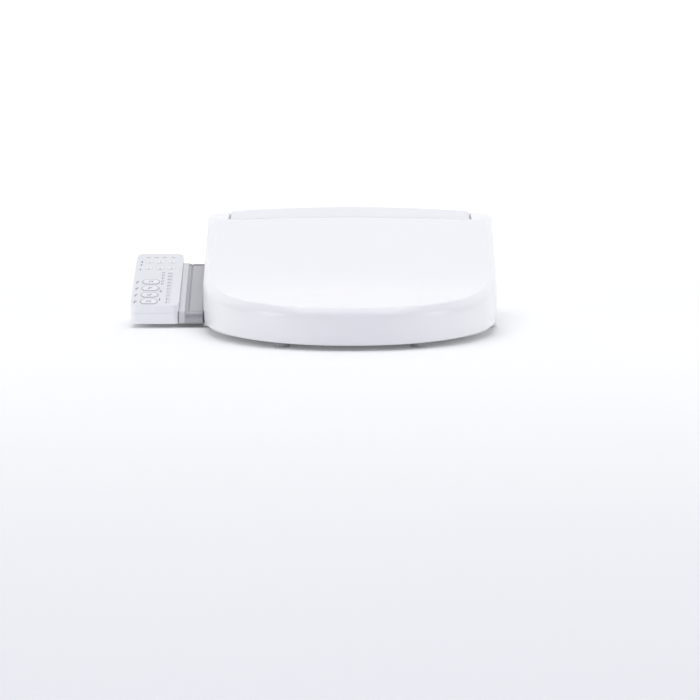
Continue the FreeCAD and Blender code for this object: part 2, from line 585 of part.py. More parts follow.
def make_dryer():
    y, z = blower_centre
    outer = rod(31, (-92, y, z), (-62, y, z)).fuse(box(-92, -62, -70, y, z - 31, z - 6))
    hollow = rod(28.5, (-89.5, y, z), (-64.5, y, z)).fuse(box(-89.5, -64.5, -80, y, z - 28.5, z - 8.5))
    housing = outer.cut(hollow).cut(rod(12, (-95, y, z), (-88, y, z)))
    housing = housing.cut(rod(3, (-66, y, z), (-60, y, z)))
    foot = box(-90, -64, y - 8, y + 8, 28.5, 34)
    save("dryer_housing", housing.fuse(foot.cut(rod(30.5, (-95, y, z), (-60, y, z)))).removeSplitter())
    save("dryer_impeller", wheel_of_blades(24, 2.05, -87, -68, 18, "x", blower_centre))
    shaft = rod(2, (-87, y, z), (-60, y, z))
    save("dryer_motor", joined(rod(14, (-61.5, y, z), (-40, y, z)), shaft))
    # duct with the heater grid, from the housing's mouth down to the outlet in the nose
    duct = side_prism([(-70.3, 33, 0), (-70.3, 58, 0), (-92, 58, 14), (-123, 33.5, 14), (-137.2, 33.5, 0),
                       (-137.2, 6.5, 0), (-128, 6.5, 6)], -92, -36)
    bore = side_prism([(-60, 35.5, 0), (-60, 55.5, 0), (-92, 55.5, 12), (-124, 31, 14), (-142, 31, 0),
                       (-142, 9, 0), (-129, 9, 5)], -89.5, -38.5)
    duct = duct.cut(bore).cut(box(-61.7, -30, -110, -60, 0, 80))
    duct = duct.fuse(box(-64.2, -61.7, -110, -70.3, 33.5, 57))
    save("dryer_duct", duct.cut(bore.cut(box(-64.2, -30, -110, -60, 0, 80))))
    flap = box(dryer_x[0] + 0.5, dryer_x[1] - 0.5, nose_front_y - 2.3, nose_front_y - 0.5, 8, 30)
    pin_y = nose_front_y - 2.2
    lugs = pipe(2.2, 1.05, (dryer_x[0] + 0.5, pin_y, 31.5), (dryer_x[1] - 0.5, pin_y, 31.5))
    web = box(dryer_x[0] + 0.5, dryer_x[1] - 0.5, nose_front_y - 2.3, nose_front_y - 1.1, 29, 30.2)
    save("dryer_flap", flap.fuse([lugs, web]).removeSplitter())
    pin = rod(1, (dryer_x[0] - 4, pin_y, 31.5), (dryer_x[1] + 4, pin_y, 31.5))
    ends = [box(dryer_x[0] - 4, dryer_x[0], nose_front_y - 4.4, nose_front_y, 29.5, 33.5),
            box(dryer_x[1], dryer_x[1] + 4, nose_front_y - 4.4, nose_front_y, 29.5, 33.5)]
    save("flap_pin", joined(pin, *ends))


# ---- deodoriser ------------------------------------------------------------------------------
def make_deodoriser():
    x, y = fan_centre
    outer = rod(27, (x, y, 6), (x, y, 30)).fuse(box(x, 178, -138, -124, 6, 30))
    hollow = rod(24.5, (x, y, 8.5), (x, y, 27.5)).fuse(box(x, 190, -135.5, -126.5, 8.5, 27.5))
    housing = outer.cut(hollow).cut(rod(12, (x, y, 25), (x, y, 32)))
    save("deodoriser_housing", housing.removeSplitter())
    save("deodoriser_impeller", wheel_of_blades(20, 2.05, 12, 25, 14, "z", fan_centre))
    save("deodoriser_motor", joined(rod(10, (x, y, 8.5), (x, y, 10.7)), rod(2, (x, y, 8.5), (x, y, 25))))
    y0, y1 = cartridge_y
    z0, z1 = cartridge_z
    case = box(150, 193, y0 + 2, y1 - 2, z0 + 1, z1 - 1).cut(box(153, 190, y0 + 4, y1 - 4, z0, z1))
    face = box(193, 196.4, y0, y1, z0, z1)
    save("deodoriser_cartridge", joined(case, face, box(153, 190, y0 + 4, y1 - 4, z0 + 4, z1 - 4)))


# ---- electrics and small outside pieces ------------------------------------------------------
def make_electrics():
    board = box(-100, 100, -25, 48, 110, 111.6)
    parts = [box(-90 + 30 * i, -74 + 30 * i, -12, 4, 111.6, 116 + 2 * (i % 3)) for i in range(6)]
    relays = [box(-88 + 26 * i, -70 + 26 * i, 22, 40, 111.6, 124) for i in range(4)]
    save("main_board", joined(board, *(parts + relays)))
    supply = box(-160, -100, -50, 40, 34, 36)
    blocks = [box(-152, -118, -40, -6, 36, 70), box(-116, -104, -40, -10, 36, 60),
              box(-150, -110, 4, 34, 36, 64)]
    leg = box(-158, -154, -48, -44, 4.5, 34)
    save("power_supply", joined(supply, leg, *blocks))
    x, z = gland_place
    gland = joined(rod(7, (x, 50, z), (x, 57, z)), rod(9.5, (x, 50, z), (x, 53.5, z)),
                   rod(9, (x, 56, z), (x, 60, z)))
    save("cord_gland", gland.cut(rod(3.6, (x, 45, z), (x, 65, z))).removeSplitter())
    y0, y1 = button_y
    z0, z1 = button_z
    head = box(190, 197.4, y0, y1, z0, z1)
    stem = box(120, 190, y0 + 6, y1 - 8, z0 + 4, z1 - 4)
    save("release_button", head.fuse(stem).removeSplitter())
    save("case_screws", *make_screws())


# ---- control panel ---------------------------------------------------------------------------
def on_panel(solid):
    """Turns a piece drawn flat, face at z = 0 and front edge at y = 0, onto the sloping panel."""
    placed = solid.copy()
    placed.rotate(V(0, 0, 0), V(1, 0, 0), math.degrees(panel_slope))
    return placed.translated(V(0, panel_front[0], panel_front[1]))


def panel_block(inset, low, high):
    """The panel's case between two depths below its face, rounded in plan."""
    x0, x1 = panel_x
    plan = [(x0 + inset, panel_front[0] + inset, 9 - inset), (x0 + inset, panel_rear[0] - inset, 9 - inset),
            (x1 - inset, panel_rear[0] - inset, 9 - inset), (x1 - inset, panel_front[0] + inset, 9 - inset)]
    column = plan_prism(plan, panel_foot_z + inset, 120)
    return column.common(on_panel(box(x0 - 10, x1 + 10, -120, 240, low, high)))


def key_body(x, p, size, grow, low, high):
    """Key with round ends, longer in x; grow widens it all round for its opening or its flange."""
    half = size[0] / 2 + grow
    side = size[1] / 2 + grow
    corners = [(x - half, p - side, side - 0.01), (x - half, p + side, side - 0.01),
               (x + half, p + side, side - 0.01), (x + half, p - side, side - 0.01)]
    return on_panel(plan_prism(corners, low, high))


def make_panel():
    upper = panel_block(0.0, -panel_split, 0.0).cut(panel_block(panel_wall, -200, -panel_wall))
    lower = panel_block(0.0, -200, -panel_split - 0.2).cut(panel_block(panel_wall, -200, 10))
    lens = on_panel(box(lens_x[0], lens_x[1], lens_run[0], lens_run[1], -panel_wall, 0.0))
    upper = upper.cut(lens)
    for x, p in wash_keys:
        upper = upper.cut(key_body(x, p, wash_key_size, gap, -10, 10))
    for x, p in small_keys:
        upper = upper.cut(key_body(x, p, small_key_size, gap, -10, 10))
    for i, (x, p) in enumerate(wash_keys):
        key = key_body(x, p, wash_key_size, 0.0, -3.0, wash_key_size[2])
        save("wash_key_%d" % (i + 1), joined(key, key_body(x, p, wash_key_size, 1.0, -3.4, -2.6)))
    for i, (x, p) in enumerate(small_keys):
        key = key_body(x, p, small_key_size, 0.0, -3.0, small_key_size[2])
        save("small_key_%d" % (i + 1), joined(key, key_body(x, p, small_key_size, 0.8, -3.4, -2.6)))
    lower = lower.cut(box(panel_x[1] - 4, panel_x[1] + 4, -160, -110, 14, 30))
    save("panel_upper_case", upper)
    save("panel_lower_case", lower)
    save("indicator_lens", lens)
    save("key_mat", on_panel(box(-284, -235, 3, 122, -5.2, -4.5)))
    chips = [on_panel(box(-280 + 12 * i, -273 + 12 * i, 40, 60, -9.2, -6.8)) for i in range(3)]
    save("panel_board", joined(on_panel(box(-286, -233, 2.8, 124, -6.8, -5.3)), *chips))


def make_arm():
    """Arm from the unit's left flank to the panel, one slope like the panel's face but lower."""
    section = [(-195, panel_foot_z, 3), (-195, 20.7, 5), (-93, 79.5, 6), (-79, 70, 8),
               (-79, panel_foot_z, 3)]
    hollow = [(-192.5, 7.5, 1), (-192.5, 19.2, 3), (-93.5, 76.2, 4), (-81.5, 68.6, 6), (-81.5, 7.5, 1)]
    outer = side_prism(section, panel_x[1], -185)
    inner = side_prism(hollow, panel_x[1] + 2.5, -180)
    flank = unit_outline(0.0, -10, 160)
    arm = outer.cut(flank).cut(inner.cut(flank))
    save("panel_arm", arm.cut(box(panel_x[1] - 1, panel_x[1] + 4, -160, -110, 14, 30)))


make_mount()
make_base()
make_cover()
make_fascia()
make_hinges()
make_wand()
make_water()
make_dryer()
make_deodoriser()
make_electrics()
make_panel()
make_arm()
make_seat()
make_lid()
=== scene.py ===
import math

import bmesh
import bpy
import numpy as np
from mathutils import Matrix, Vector


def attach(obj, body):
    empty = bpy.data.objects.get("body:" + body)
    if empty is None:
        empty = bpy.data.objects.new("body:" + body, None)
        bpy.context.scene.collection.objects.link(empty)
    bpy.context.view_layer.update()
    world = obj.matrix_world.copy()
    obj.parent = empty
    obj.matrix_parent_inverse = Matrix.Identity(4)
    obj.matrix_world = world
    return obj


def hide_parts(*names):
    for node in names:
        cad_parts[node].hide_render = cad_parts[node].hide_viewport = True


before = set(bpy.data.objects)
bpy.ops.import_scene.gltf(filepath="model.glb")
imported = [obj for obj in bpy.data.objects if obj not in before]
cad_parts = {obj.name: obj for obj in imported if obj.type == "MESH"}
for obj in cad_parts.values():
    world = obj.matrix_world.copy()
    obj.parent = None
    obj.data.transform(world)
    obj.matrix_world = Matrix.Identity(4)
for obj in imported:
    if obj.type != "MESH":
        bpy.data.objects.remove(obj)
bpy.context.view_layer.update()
scene = bpy.context.scene
MM = 0.001


# ---- mounting plate and bolt adapters ----------------------------------------------------------
# The plate bolted to the toilet's deck, and the two slotted blocks that centre its bolts.
# Glass-filled grey and black mouldings, with the fine spark-eroded grain that hidden parts get.
class Value:
    """A number or colour coming out of a node; arithmetic on it adds Math nodes."""

    def __init__(self, finish, socket):
        self.finish = finish
        self.socket = socket

    def _reckon(self, operation, left, right):
        return self.finish.node("ShaderNodeMath", {"operation": operation}, {0: left, 1: right})

    def __add__(self, other):
        return self._reckon("ADD", self, other)

    def __sub__(self, other):
        return self._reckon("SUBTRACT", self, other)

    def __rsub__(self, other):
        return self._reckon("SUBTRACT", other, self)

    def __mul__(self, other):
        return self._reckon("MULTIPLY", self, other)


class Finish:
    """A material for one of the seat's finishes, built node by node."""

    def __init__(self, name):
        self.material = bpy.data.materials.new(name)
        self.material.use_nodes = True
        self.tree = self.material.node_tree
        self.tree.nodes.clear()

    def node(self, kind, settings, values, output=0):
        """Adds one node: its settings first, then the values or links of its sockets; gives one output."""
        made = self.tree.nodes.new(kind)
        for key, setting in settings.items():
            if key == "stops":
                ramp = made.color_ramp
                while len(ramp.elements) < len(setting):
                    ramp.elements.new(0.5)
                for element, (place, tone) in zip(ramp.elements, setting):
                    element.position = place
                    element.color = (tone, tone, tone, 1)
            else:
                setattr(made, key, setting)
        for key, value in values.items():
            if isinstance(key, int):
                socket = made.inputs[key]
            else:
                socket = next(s for s in made.inputs if s.name == key and s.enabled)
            if isinstance(value, Value):
                self.tree.links.new(value.socket, socket)
            elif isinstance(value, tuple) and len(value) == 3 and socket.type == "RGBA":
                socket.default_value = (*value, 1)
            else:
                socket.default_value = value
        if isinstance(output, str):
            return Value(self, next(s for s in made.outputs if s.name == output and s.enabled))
        return Value(self, made.outputs[output])

    def place(self):
        return self.node("ShaderNodeTexCoord", {}, {}, "Object")

    def noise(self, scale, detail=2.0, stretch=(1, 1, 1)):
        """Noise between 0 and 1 over the piece, in cycles per metre."""
        spot = self.node("ShaderNodeVectorMath", {"operation": "MULTIPLY"}, {0: self.place(), 1: stretch})
        values = {"Vector": spot, "Scale": scale, "Detail": detail}
        return self.node("ShaderNodeTexNoise", {}, values, "Fac")

    def blend(self, factor, first, second):
        settings = {"data_type": "RGBA"}
        return self.node("ShaderNodeMix", settings, {"Factor": factor, "A": first, "B": second}, "Result")

    def bump(self, height, strength, distance):
        values = {"Height": height, "Strength": strength, "Distance": distance}
        return self.node("ShaderNodeBump", {}, values, "Normal")

    def shade(self, **sockets):
        """Ends the tree with the surface shader and gives the material."""
        names = {key.replace("_", " "): value for key, value in sockets.items()}
        surface = self.node("ShaderNodeBsdfPrincipled", {}, names, "BSDF")
        end = self.tree.nodes.new("ShaderNodeOutputMaterial")
        self.tree.links.new(surface.socket, end.inputs["Surface"])
        return self.material


def matt_moulding(name, colour, rough=0.5, grain=1400.0):
    """Plain moulding with eroded grain: tone drifts with broad noise, height with fine noise."""
    finish = Finish(name)
    drift = finish.noise(14.0, 4.0)
    fine = finish.noise(grain, 2.0)
    darker = tuple(c * 0.86 for c in colour)
    tone = finish.blend(drift * 0.7 + fine * 0.3, darker, colour)
    return finish.shade(Base_Color=tone, Roughness=drift * 0.14 + (rough - 0.07),
                        Normal=finish.bump(fine, 0.25, 0.0002))


def dress(node, material):
    """Gives a carried-over CAD node its finish, in one slot in place of the slots it had."""
    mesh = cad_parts[node].data
    mesh.materials.clear()
    mesh.materials.append(material)


plate_finish = matt_moulding("glass_filled_grey", (0.075, 0.08, 0.09), 0.55)
black_finish = matt_moulding("glass_filled_black", (0.02, 0.021, 0.024), 0.48)
dress("mounting_plate", plate_finish)
for node in ("bolt_adapters", "inlet_valve", "diverter_valve", "cord_gland"):
    dress(node, black_finish)


# ---- base tray, feet and screws ----------------------------------------------------------------
# The tray that everything inside stands on: gloss white moulding with softened edges, on four
# grey rubber feet, closed from below by six steel screws.
def gloss_moulding(name, colour, rough, coat=0.35, peel=0.05, shift=0.02):
    """Polished moulding: broad drift of tone, faint cloud in the gloss, orange peel in the normal."""
    finish = Finish(name)
    drift = finish.noise(5.0, 3.0)
    cloud = finish.noise(25.0, 2.0)
    peeled = finish.noise(420.0, 1.0)
    low = tuple(c * (1 - shift) for c in colour)
    tone = finish.blend(drift * 0.8 + cloud * 0.2, low, colour)
    return finish.shade(Base_Color=tone, Roughness=cloud * 0.05 + (rough - 0.025), Coat_Weight=coat,
                        Coat_Roughness=0.16, Normal=finish.bump(peeled, peel, 0.00008))


def softened(node, name, body, width, segments=3, limit=35.0):
    """A merged copy of a CAD node whose flat faces are joined up and whose sharp edges are rounded."""
    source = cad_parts[node].data
    made = bmesh.new()
    made.from_mesh(source)
    bmesh.ops.remove_doubles(made, verts=made.verts, dist=1e-6)
    bmesh.ops.dissolve_limit(made, angle_limit=math.radians(0.6), verts=made.verts, edges=made.edges)
    mesh = bpy.data.meshes.new(name)
    made.to_mesh(mesh)
    made.free()
    piece = bpy.data.objects.new(name, mesh)
    scene.collection.objects.link(piece)
    mesh.shade_smooth()
    mesh.set_sharp_from_angle(angle=math.radians(limit))
    bevel = piece.modifiers.new("edges", "BEVEL")
    bevel.width = width
    bevel.segments = segments
    bevel.limit_method = "ANGLE"
    bevel.angle_limit = math.radians(limit)
    bevel.harden_normals = True
    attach(piece, body)
    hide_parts(node)
    return piece


def metal(name, colour, rough, stretch=(1, 1, 1)):
    """Plated or drawn steel: scratches as noise drawn out along one axis, cloudy gloss."""
    finish = Finish(name)
    drawn = finish.noise(900.0, 2.0, stretch)
    cloud = finish.noise(40.0, 3.0)
    low = tuple(c * 0.8 for c in colour)
    return finish.shade(Base_Color=finish.blend(drawn * 0.6 + cloud * 0.4, low, colour), Metallic=1.0,
                        Roughness=drawn * 0.12 + cloud * 0.1 + (rough - 0.1),
                        Normal=finish.bump(drawn, 0.12, 0.0001))


unit_finish = gloss_moulding("unit_gloss_white", (0.82, 0.83, 0.86), 0.32, 0.2, 0.03)
rubber_finish = matt_moulding("grey_rubber", (0.5, 0.505, 0.52), 0.75, 700.0)
steel_finish = metal("bright_steel", (0.62, 0.63, 0.65), 0.3, (1, 0.08, 1))

tray = softened("base_tray", "tray_body", "unit", 0.8 * MM)
tray.data.materials.append(unit_finish)
dress("unit_feet", rubber_finish)
for node in ("case_screws", "flap_pin", "hinge_pins", "tank_heater"):
    dress(node, steel_finish)


# ---- works inside the unit ---------------------------------------------------------------------
# Tank, valves, blowers and boards. Natural mouldings, plated motor cans, milky silicone hoses
# and green laminate boards, all hidden while the cover is on.
inner_finish = matt_moulding("natural_moulding", (0.55, 0.56, 0.57), 0.42, 1100.0)
can_finish = metal("plated_can", (0.5, 0.51, 0.54), 0.34, (0.05, 1, 1))
for node in ("water_tank", "dryer_housing", "dryer_duct", "deodoriser_housing", "deodoriser_cartridge",
             "dryer_impeller", "deodoriser_impeller", "wand_pinion", "wand_cradle", "seat_damper",
             "lid_damper"):
    dress(node, inner_finish)
for node in ("wand_motor", "valve_solenoid", "diverter_motor", "dryer_motor", "deodoriser_motor"):
    dress(node, can_finish)


def board_finish():
    """Laminate with copper tracks: one square wave of distorted bands, thinned by noise, under green
    lacquer.
    """
    finish = Finish("board_laminate")
    wave = {"wave_type": "BANDS", "bands_direction": "X"}
    across = finish.node("ShaderNodeTexWave", wave, {"Vector": finish.place(), "Scale": 90.0,
                                                     "Distortion": 6.0, "Detail": 1.0}, "Fac")
    track = finish.node("ShaderNodeMath", {"operation": "GREATER_THAN"}, {0: across, 1: 0.72})
    tone = finish.blend(track * finish.noise(70.0, 1.0), (0.012, 0.09, 0.04), (0.06, 0.22, 0.1))
    return finish.shade(Base_Color=tone, Roughness=0.55 - track * 0.2,
                        Normal=finish.bump(track, 0.3, 0.0001))


laminate_finish = board_finish()
for node in ("main_board", "power_supply", "panel_board"):
    dress(node, laminate_finish)


def silicone(name, colour):
    """Milky silicone: cloudy tone and a soft skin."""
    finish = Finish(name)
    cloud = finish.noise(120.0, 3.0)
    low = tuple(c * 0.88 for c in colour)
    return finish.shade(Base_Color=finish.blend(cloud, low, colour), Roughness=cloud * 0.15 + 0.35,
                        Subsurface_Weight=0.2, Subsurface_Scale=0.004,
                        Normal=finish.bump(cloud, 0.1, 0.0003))


hose_finish = silicone("milky_silicone", (0.66, 0.68, 0.7))
for node in ("water_hoses", "wand_hose", "key_mat"):
    dress(node, hose_finish)


# ---- top cover ---------------------------------------------------------------------------------
# Gloss white moulding with the raised strip behind the lid, which is crowned across, its
# shoulders behind the lid's ears and the cheeks beside the seat's arms.
strip_half = 167.5
strip_foot = 126.5              # below this the cover's copy takes over
crown_drop = 6.0                # the strip's top falls this much from its middle to its ends
cover = softened("top_cover", "cover_body", "unit", 1.0 * MM)
trimmed = bmesh.new()
trimmed.from_mesh(cover.data)
cuts = [((0, 0, strip_foot * MM), (0, 0, 1))]
cuts += [((side * strip_half * MM, 0, 0), (1, 0, 0)) for side in (1, -1)]
for place, facing in cuts:
    everything = trimmed.verts[:] + trimmed.edges[:] + trimmed.faces[:]
    bmesh.ops.bisect_plane(trimmed, geom=everything, plane_co=place, plane_no=facing, dist=1e-7)
above = [f for f in trimmed.faces if f.calc_center_median().z > strip_foot * MM + 1e-6
         and abs(f.calc_center_median().x) < strip_half * MM + 1e-6]
bmesh.ops.delete(trimmed, geom=above, context="FACES")
trimmed.to_mesh(cover.data)
trimmed.free()
cover.data.set_sharp_from_angle(angle=math.radians(35))
cover.data.materials.append(unit_finish)


def grid_mesh(name, grids, merge=1e-6):
    """One mesh from grids of points, rows by columns, joined where their points meet, facing outwards.

    Each grid gives a quad between neighbouring rows and columns; outwards is away from the middle."""
    corners = []
    quads = []
    start = 0
    for grid in grids:
        rows, columns = grid.shape[:2]
        index = start + np.arange(rows * columns).reshape(rows, columns)
        ring = np.stack([index[:-1, :-1], index[:-1, 1:], index[1:, 1:], index[1:, :-1]], axis=-1)
        quads.append(ring.reshape(-1, 4))
        corners.append(grid.reshape(-1, 3))
        start += rows * columns
    mesh = bpy.data.meshes.new(name)
    mesh.from_pydata((np.concatenate(corners) * MM).tolist(), [], np.concatenate(quads).tolist())
    made = bmesh.new()
    made.from_mesh(mesh)
    bmesh.ops.remove_doubles(made, verts=made.verts, dist=merge)
    bmesh.ops.dissolve_degenerate(made, edges=made.edges, dist=merge)
    bmesh.ops.recalc_face_normals(made, faces=made.faces)
    middle = sum((v.co for v in made.verts), made.verts[:][0].co * 0) / len(made.verts)
    facing = sum(f.calc_area() * f.normal.dot(f.calc_center_median() - middle) for f in made.faces)
    if facing < 0:
        bmesh.ops.reverse_faces(made, faces=made.faces)
    made.to_mesh(mesh)
    made.free()
    mesh.shade_smooth()
    piece = bpy.data.objects.new(name, mesh)
    scene.collection.objects.link(piece)
    return piece


def walled(piece, thickness):
    """Gives a shell its wall, inwards from the outer surface."""
    wall = piece.modifiers.new("wall", "SOLIDIFY")
    wall.thickness = thickness * MM
    wall.offset = -1
    return piece


def rounded_corners(corners, steps=6):
    """Outline through (a, b, radius) corners, each rounded by an arc; closed, from the first corner on."""
    places = np.array([c[:2] for c in corners], float)
    line = []
    for i, (a, b, radius) in enumerate(corners):
        here = places[i]
        back = places[i - 1] - here
        ahead = places[(i + 1) % len(corners)] - here
        back /= np.linalg.norm(back)
        ahead /= np.linalg.norm(ahead)
        half = math.acos(np.clip(back @ ahead, -1, 1)) / 2
        if radius <= 0:
            line.append(here[None])
            continue
        run = radius / math.tan(half)
        centre = here + (back + ahead) / np.linalg.norm(back + ahead) * radius / math.sin(half)
        first = here + back * run - centre
        last = here + ahead * run - centre
        share = np.linspace(0, 1, steps + 1)[:, None]
        spread = math.pi - 2 * half
        line.append(centre + (first * np.sin((1 - share) * spread) + last * np.sin(share * spread))
                    / math.sin(spread))
    return np.concatenate(line)


def evenly(line, count):
    """The same open line with about count points, keeping its own corners."""
    run = np.concatenate([[0], np.cumsum(np.linalg.norm(np.diff(line, axis=0), axis=1))])
    stops = np.unique(np.concatenate([np.linspace(0, run[-1], count), run]))
    return np.stack([np.interp(stops, run, line[:, i]) for i in (0, 1)], -1)


# the raised strip: one profile carried across, its top falling as the square of the distance from
# the middle, its two ends rounded and closed down to the foot
profile = rounded_corners([(-34.5, strip_foot, 0), (-34.5, 138.9, 1.6), (14, 149.9, 60), (56, 147.2, 14),
                           (56, strip_foot, 0)], 14)
profile = evenly(profile, 90)
forward = np.gradient(profile, axis=0)
forward /= np.linalg.norm(forward, axis=1)[:, None]
inward = np.stack([forward[:, 1], -forward[:, 0]], -1)
end_round = 1.8
turn = np.linspace(0, math.pi / 2, 6)
half_places = np.concatenate([np.linspace(0, strip_half - end_round, 24),
                              strip_half - end_round * (1 - np.sin(turn[1:]))])
half_insets = np.concatenate([np.zeros(24), end_round * (1 - np.cos(turn[1:]))])
places = np.concatenate([-half_places[:0:-1], half_places])
insets = np.concatenate([half_insets[:0:-1], half_insets])


def crowned(points):
    """Lowers the top by the crown, none at the foot and all of it above z = 139."""
    share = np.clip((points[..., 2] - strip_foot - 1) / 11.0, 0, 1)
    points[..., 2] -= crown_drop * (points[..., 0] / strip_half) ** 2 * share
    return points


sections = profile[None] + inward[None] * insets[:, None, None]
strip = np.concatenate([np.repeat(places[:, None, None], profile.shape[0], 1), sections], -1)
caps = []
for side in (0, -1):
    drop = np.linspace(0, 1, 4)[:, None]
    cap = np.repeat(strip[side][None], 4, 0).copy()
    cap[:, :, 2] = cap[:, :, 2] * (1 - drop) + strip_foot * drop
    caps.append(cap)
strip_cover = walled(grid_mesh("strip_cover", [crowned(strip)] + [crowned(c) for c in caps], 2e-6), 2.2)
strip_cover.data.set_sharp_from_angle(angle=math.radians(50))
strip_cover.data.materials.append(unit_finish)
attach(strip_cover, "unit")
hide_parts("top_cover")


# ---- front fascia ------------------------------------------------------------------------------
# The sloping front of the unit behind the seat, one gloss panel between the cover's flanks.
fascia = softened("front_fascia", "fascia_panel", "unit", 1.0 * MM)
fascia.data.materials.append(unit_finish)
for node in ("release_button", "drain_plug", "dryer_flap"):
    dress(node, unit_finish)


# ---- wand --------------------------------------------------------------------------------------
# The washing wand with its rack, and the tip with two nozzles: satin white mouldings.
wand_finish = gloss_moulding("wand_satin_white", (0.84, 0.85, 0.87), 0.33, 0.1)
for node in ("wand_barrel", "wand_tip"):
    dress(node, wand_finish)


# ---- seat --------------------------------------------------------------------------------------
# The heated ring: an upper shell with rounded shoulders, dished to its inner lip, on a flat lower
# shell, with a foil heater between. Two arms at the rear carry it on the hinge pins.
def front_curve(half, tip_y, curve_y, taper, rear_y, power=2.15, count=900):
    """Right half of a horseshoe outline: superellipse from the tip, then a side opening by taper."""
    turn = np.linspace(math.pi / 2, 0, count)
    y = curve_y - (curve_y - tip_y) * np.sin(turn) ** (2 / power)
    x = (half + taper * (y - curve_y)) * np.cos(turn) ** (2 / power)
    x[0] = 0.0
    side_y = np.linspace(curve_y, rear_y, count)[1:]
    return np.concatenate([x, half + taper * (side_y - curve_y)]), np.concatenate([y, side_y])


def seat_height(y):
    """Height of the sitting face: nearly level at the front, rising behind y = -300.

    Two straight slopes, of 2 and of 21 in 166, joined by a hyperbola."""
    bend = (y + 300 + np.hypot(y + 300, 25.0)) / 2
    return 39.25 + (y + 466) * 2.0 / 166.0 + bend * (21.0 - 2.0) / 166.0


seat_half = 184.0
seat_tip = -466.0
seat_rear = -134.0
corner = 16.0                   # radius of the rear corners in plan
opening_half = 103.0
opening_length = 122.0          # from the opening's middle to its front
opening_power = 2.3
middle_y = -282.0               # middle of the opening
step_y = -198.0                 # behind it the skirt is cut short, over the unit's wings
seat_x, seat_y = front_curve(seat_half, seat_tip, -230.0, 0.0, seat_rear - corner)
bow = np.linspace(0, math.pi / 2, 40)
straight = np.linspace(seat_half - corner, 0.0, 120)[1:]
seat_x = np.concatenate([seat_x, seat_half - corner + corner * np.cos(bow), straight])
seat_y = np.concatenate([seat_y, seat_rear - corner + corner * np.sin(bow), 0 * straight + seat_rear])
bearing = np.unwrap(np.arctan2(seat_x, -(seat_y - middle_y)))
reach = np.hypot(seat_x, seat_y - middle_y)
fine_bearing = np.linspace(bearing[0], bearing[-1], 4000)
fine_reach = np.hypot(np.interp(fine_bearing, bearing, seat_x),
                      np.interp(fine_bearing, bearing, seat_y) - middle_y)
around = np.linspace(0, math.pi, 181)
outer = np.interp(around, fine_bearing, fine_reach)
inner = (np.abs(np.sin(around) / opening_half) ** opening_power
         + np.abs(np.cos(around) / opening_length) ** opening_power) ** (-1 / opening_power)
around = np.concatenate([-around[:0:-1], around])
outer = np.concatenate([outer[:0:-1], outer])
inner = np.concatenate([inner[:0:-1], inner])


width = outer - inner
room = np.minimum(1.0, width / 70.0)        # where the ring is narrow, behind the opening, edges tighten


def ring_row(inwards, drop, from_inner=False):
    """One closed line round the ring, set in from its outer or inner edge and dropped below its top."""
    radius = inner + inwards * room if from_inner else outer - inwards * room
    x = radius * np.sin(around)
    y = middle_y - radius * np.cos(around)
    top = seat_height(np.minimum(y, seat_rear))
    wall_y = middle_y - (inner if from_inner else outer) * np.cos(around)
    foot = np.where(wall_y < step_y, 8.0, 39.0)
    z = foot + 0.0 * x if drop is None else top - drop
    return np.stack([x, y, z], axis=-1)


def dished_row(share, below):
    """A closed line at a share of the ring's width, below its sitting face, which falls to the opening."""
    radius = outer - width * share
    x = radius * np.sin(around)
    y = middle_y - radius * np.cos(around)
    dip = 0.4 + 4.2 * max(0.0, (share - 0.35) / 0.65) ** 1.6
    return np.stack([x, y, seat_height(np.minimum(y, seat_rear)) - dip - below], axis=-1)


shoulder = np.linspace(0, math.pi / 2, 9)
rows = [ring_row(0.6, None), ring_row(0.0, 14.0)]
rows += [ring_row(11 * (1 - math.cos(a)), 1.2 + 11 * (1 - math.sin(a))) for a in shoulder]
rows += [ring_row(16, 0.55), ring_row(20, 0.4)]
rows += [dished_row(share, 0.0) for share in np.linspace(0.3, 0.85, 10)]
lip = np.linspace(math.pi / 2, 0, 8)
rows += [ring_row(5.5 * (1 - math.cos(a)), 5.2 + 5.5 * (1 - math.sin(a)), True) for a in lip]
rows += [ring_row(0.5, None, True)]
seat_finish = gloss_moulding("seat_gloss_white", (0.87, 0.875, 0.895), 0.33, 0.25, 0.02, 0.015)
ring = walled(grid_mesh("seat_ring", [np.array(rows)]), 2.4)
ring.data.materials.append(seat_finish)
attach(ring, "seat")
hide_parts("seat_top_shell")
dress("seat_bottom_shell", seat_finish)
dress("seat_buffers", rubber_finish)


def foil_finish():
    """Heater foil: crinkles as fine noise, and the wire as narrow bands pressed into it."""
    finish = Finish("heater_foil")
    crinkle = finish.noise(260.0, 4.0)
    wave = {"wave_type": "RINGS", "rings_direction": "Z"}
    wire = finish.node("ShaderNodeTexWave", wave, {"Vector": finish.place(), "Scale": 25.0}, "Fac")
    tone = finish.blend(crinkle, (0.45, 0.45, 0.44), (0.75, 0.75, 0.73))
    return finish.shade(Base_Color=tone, Metallic=0.9, Roughness=crinkle * 0.2 + 0.25,
                        Normal=finish.bump(crinkle + wire, 0.4, 0.0003))


foil_rows = np.array([dished_row(share, 3.2) for share in np.linspace(0.2, 0.8, 12)])
foil = walled(grid_mesh("heater_foil", [foil_rows]), 0.3)
foil.data.materials.append(foil_finish())
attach(foil, "seat")
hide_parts("seat_heater")


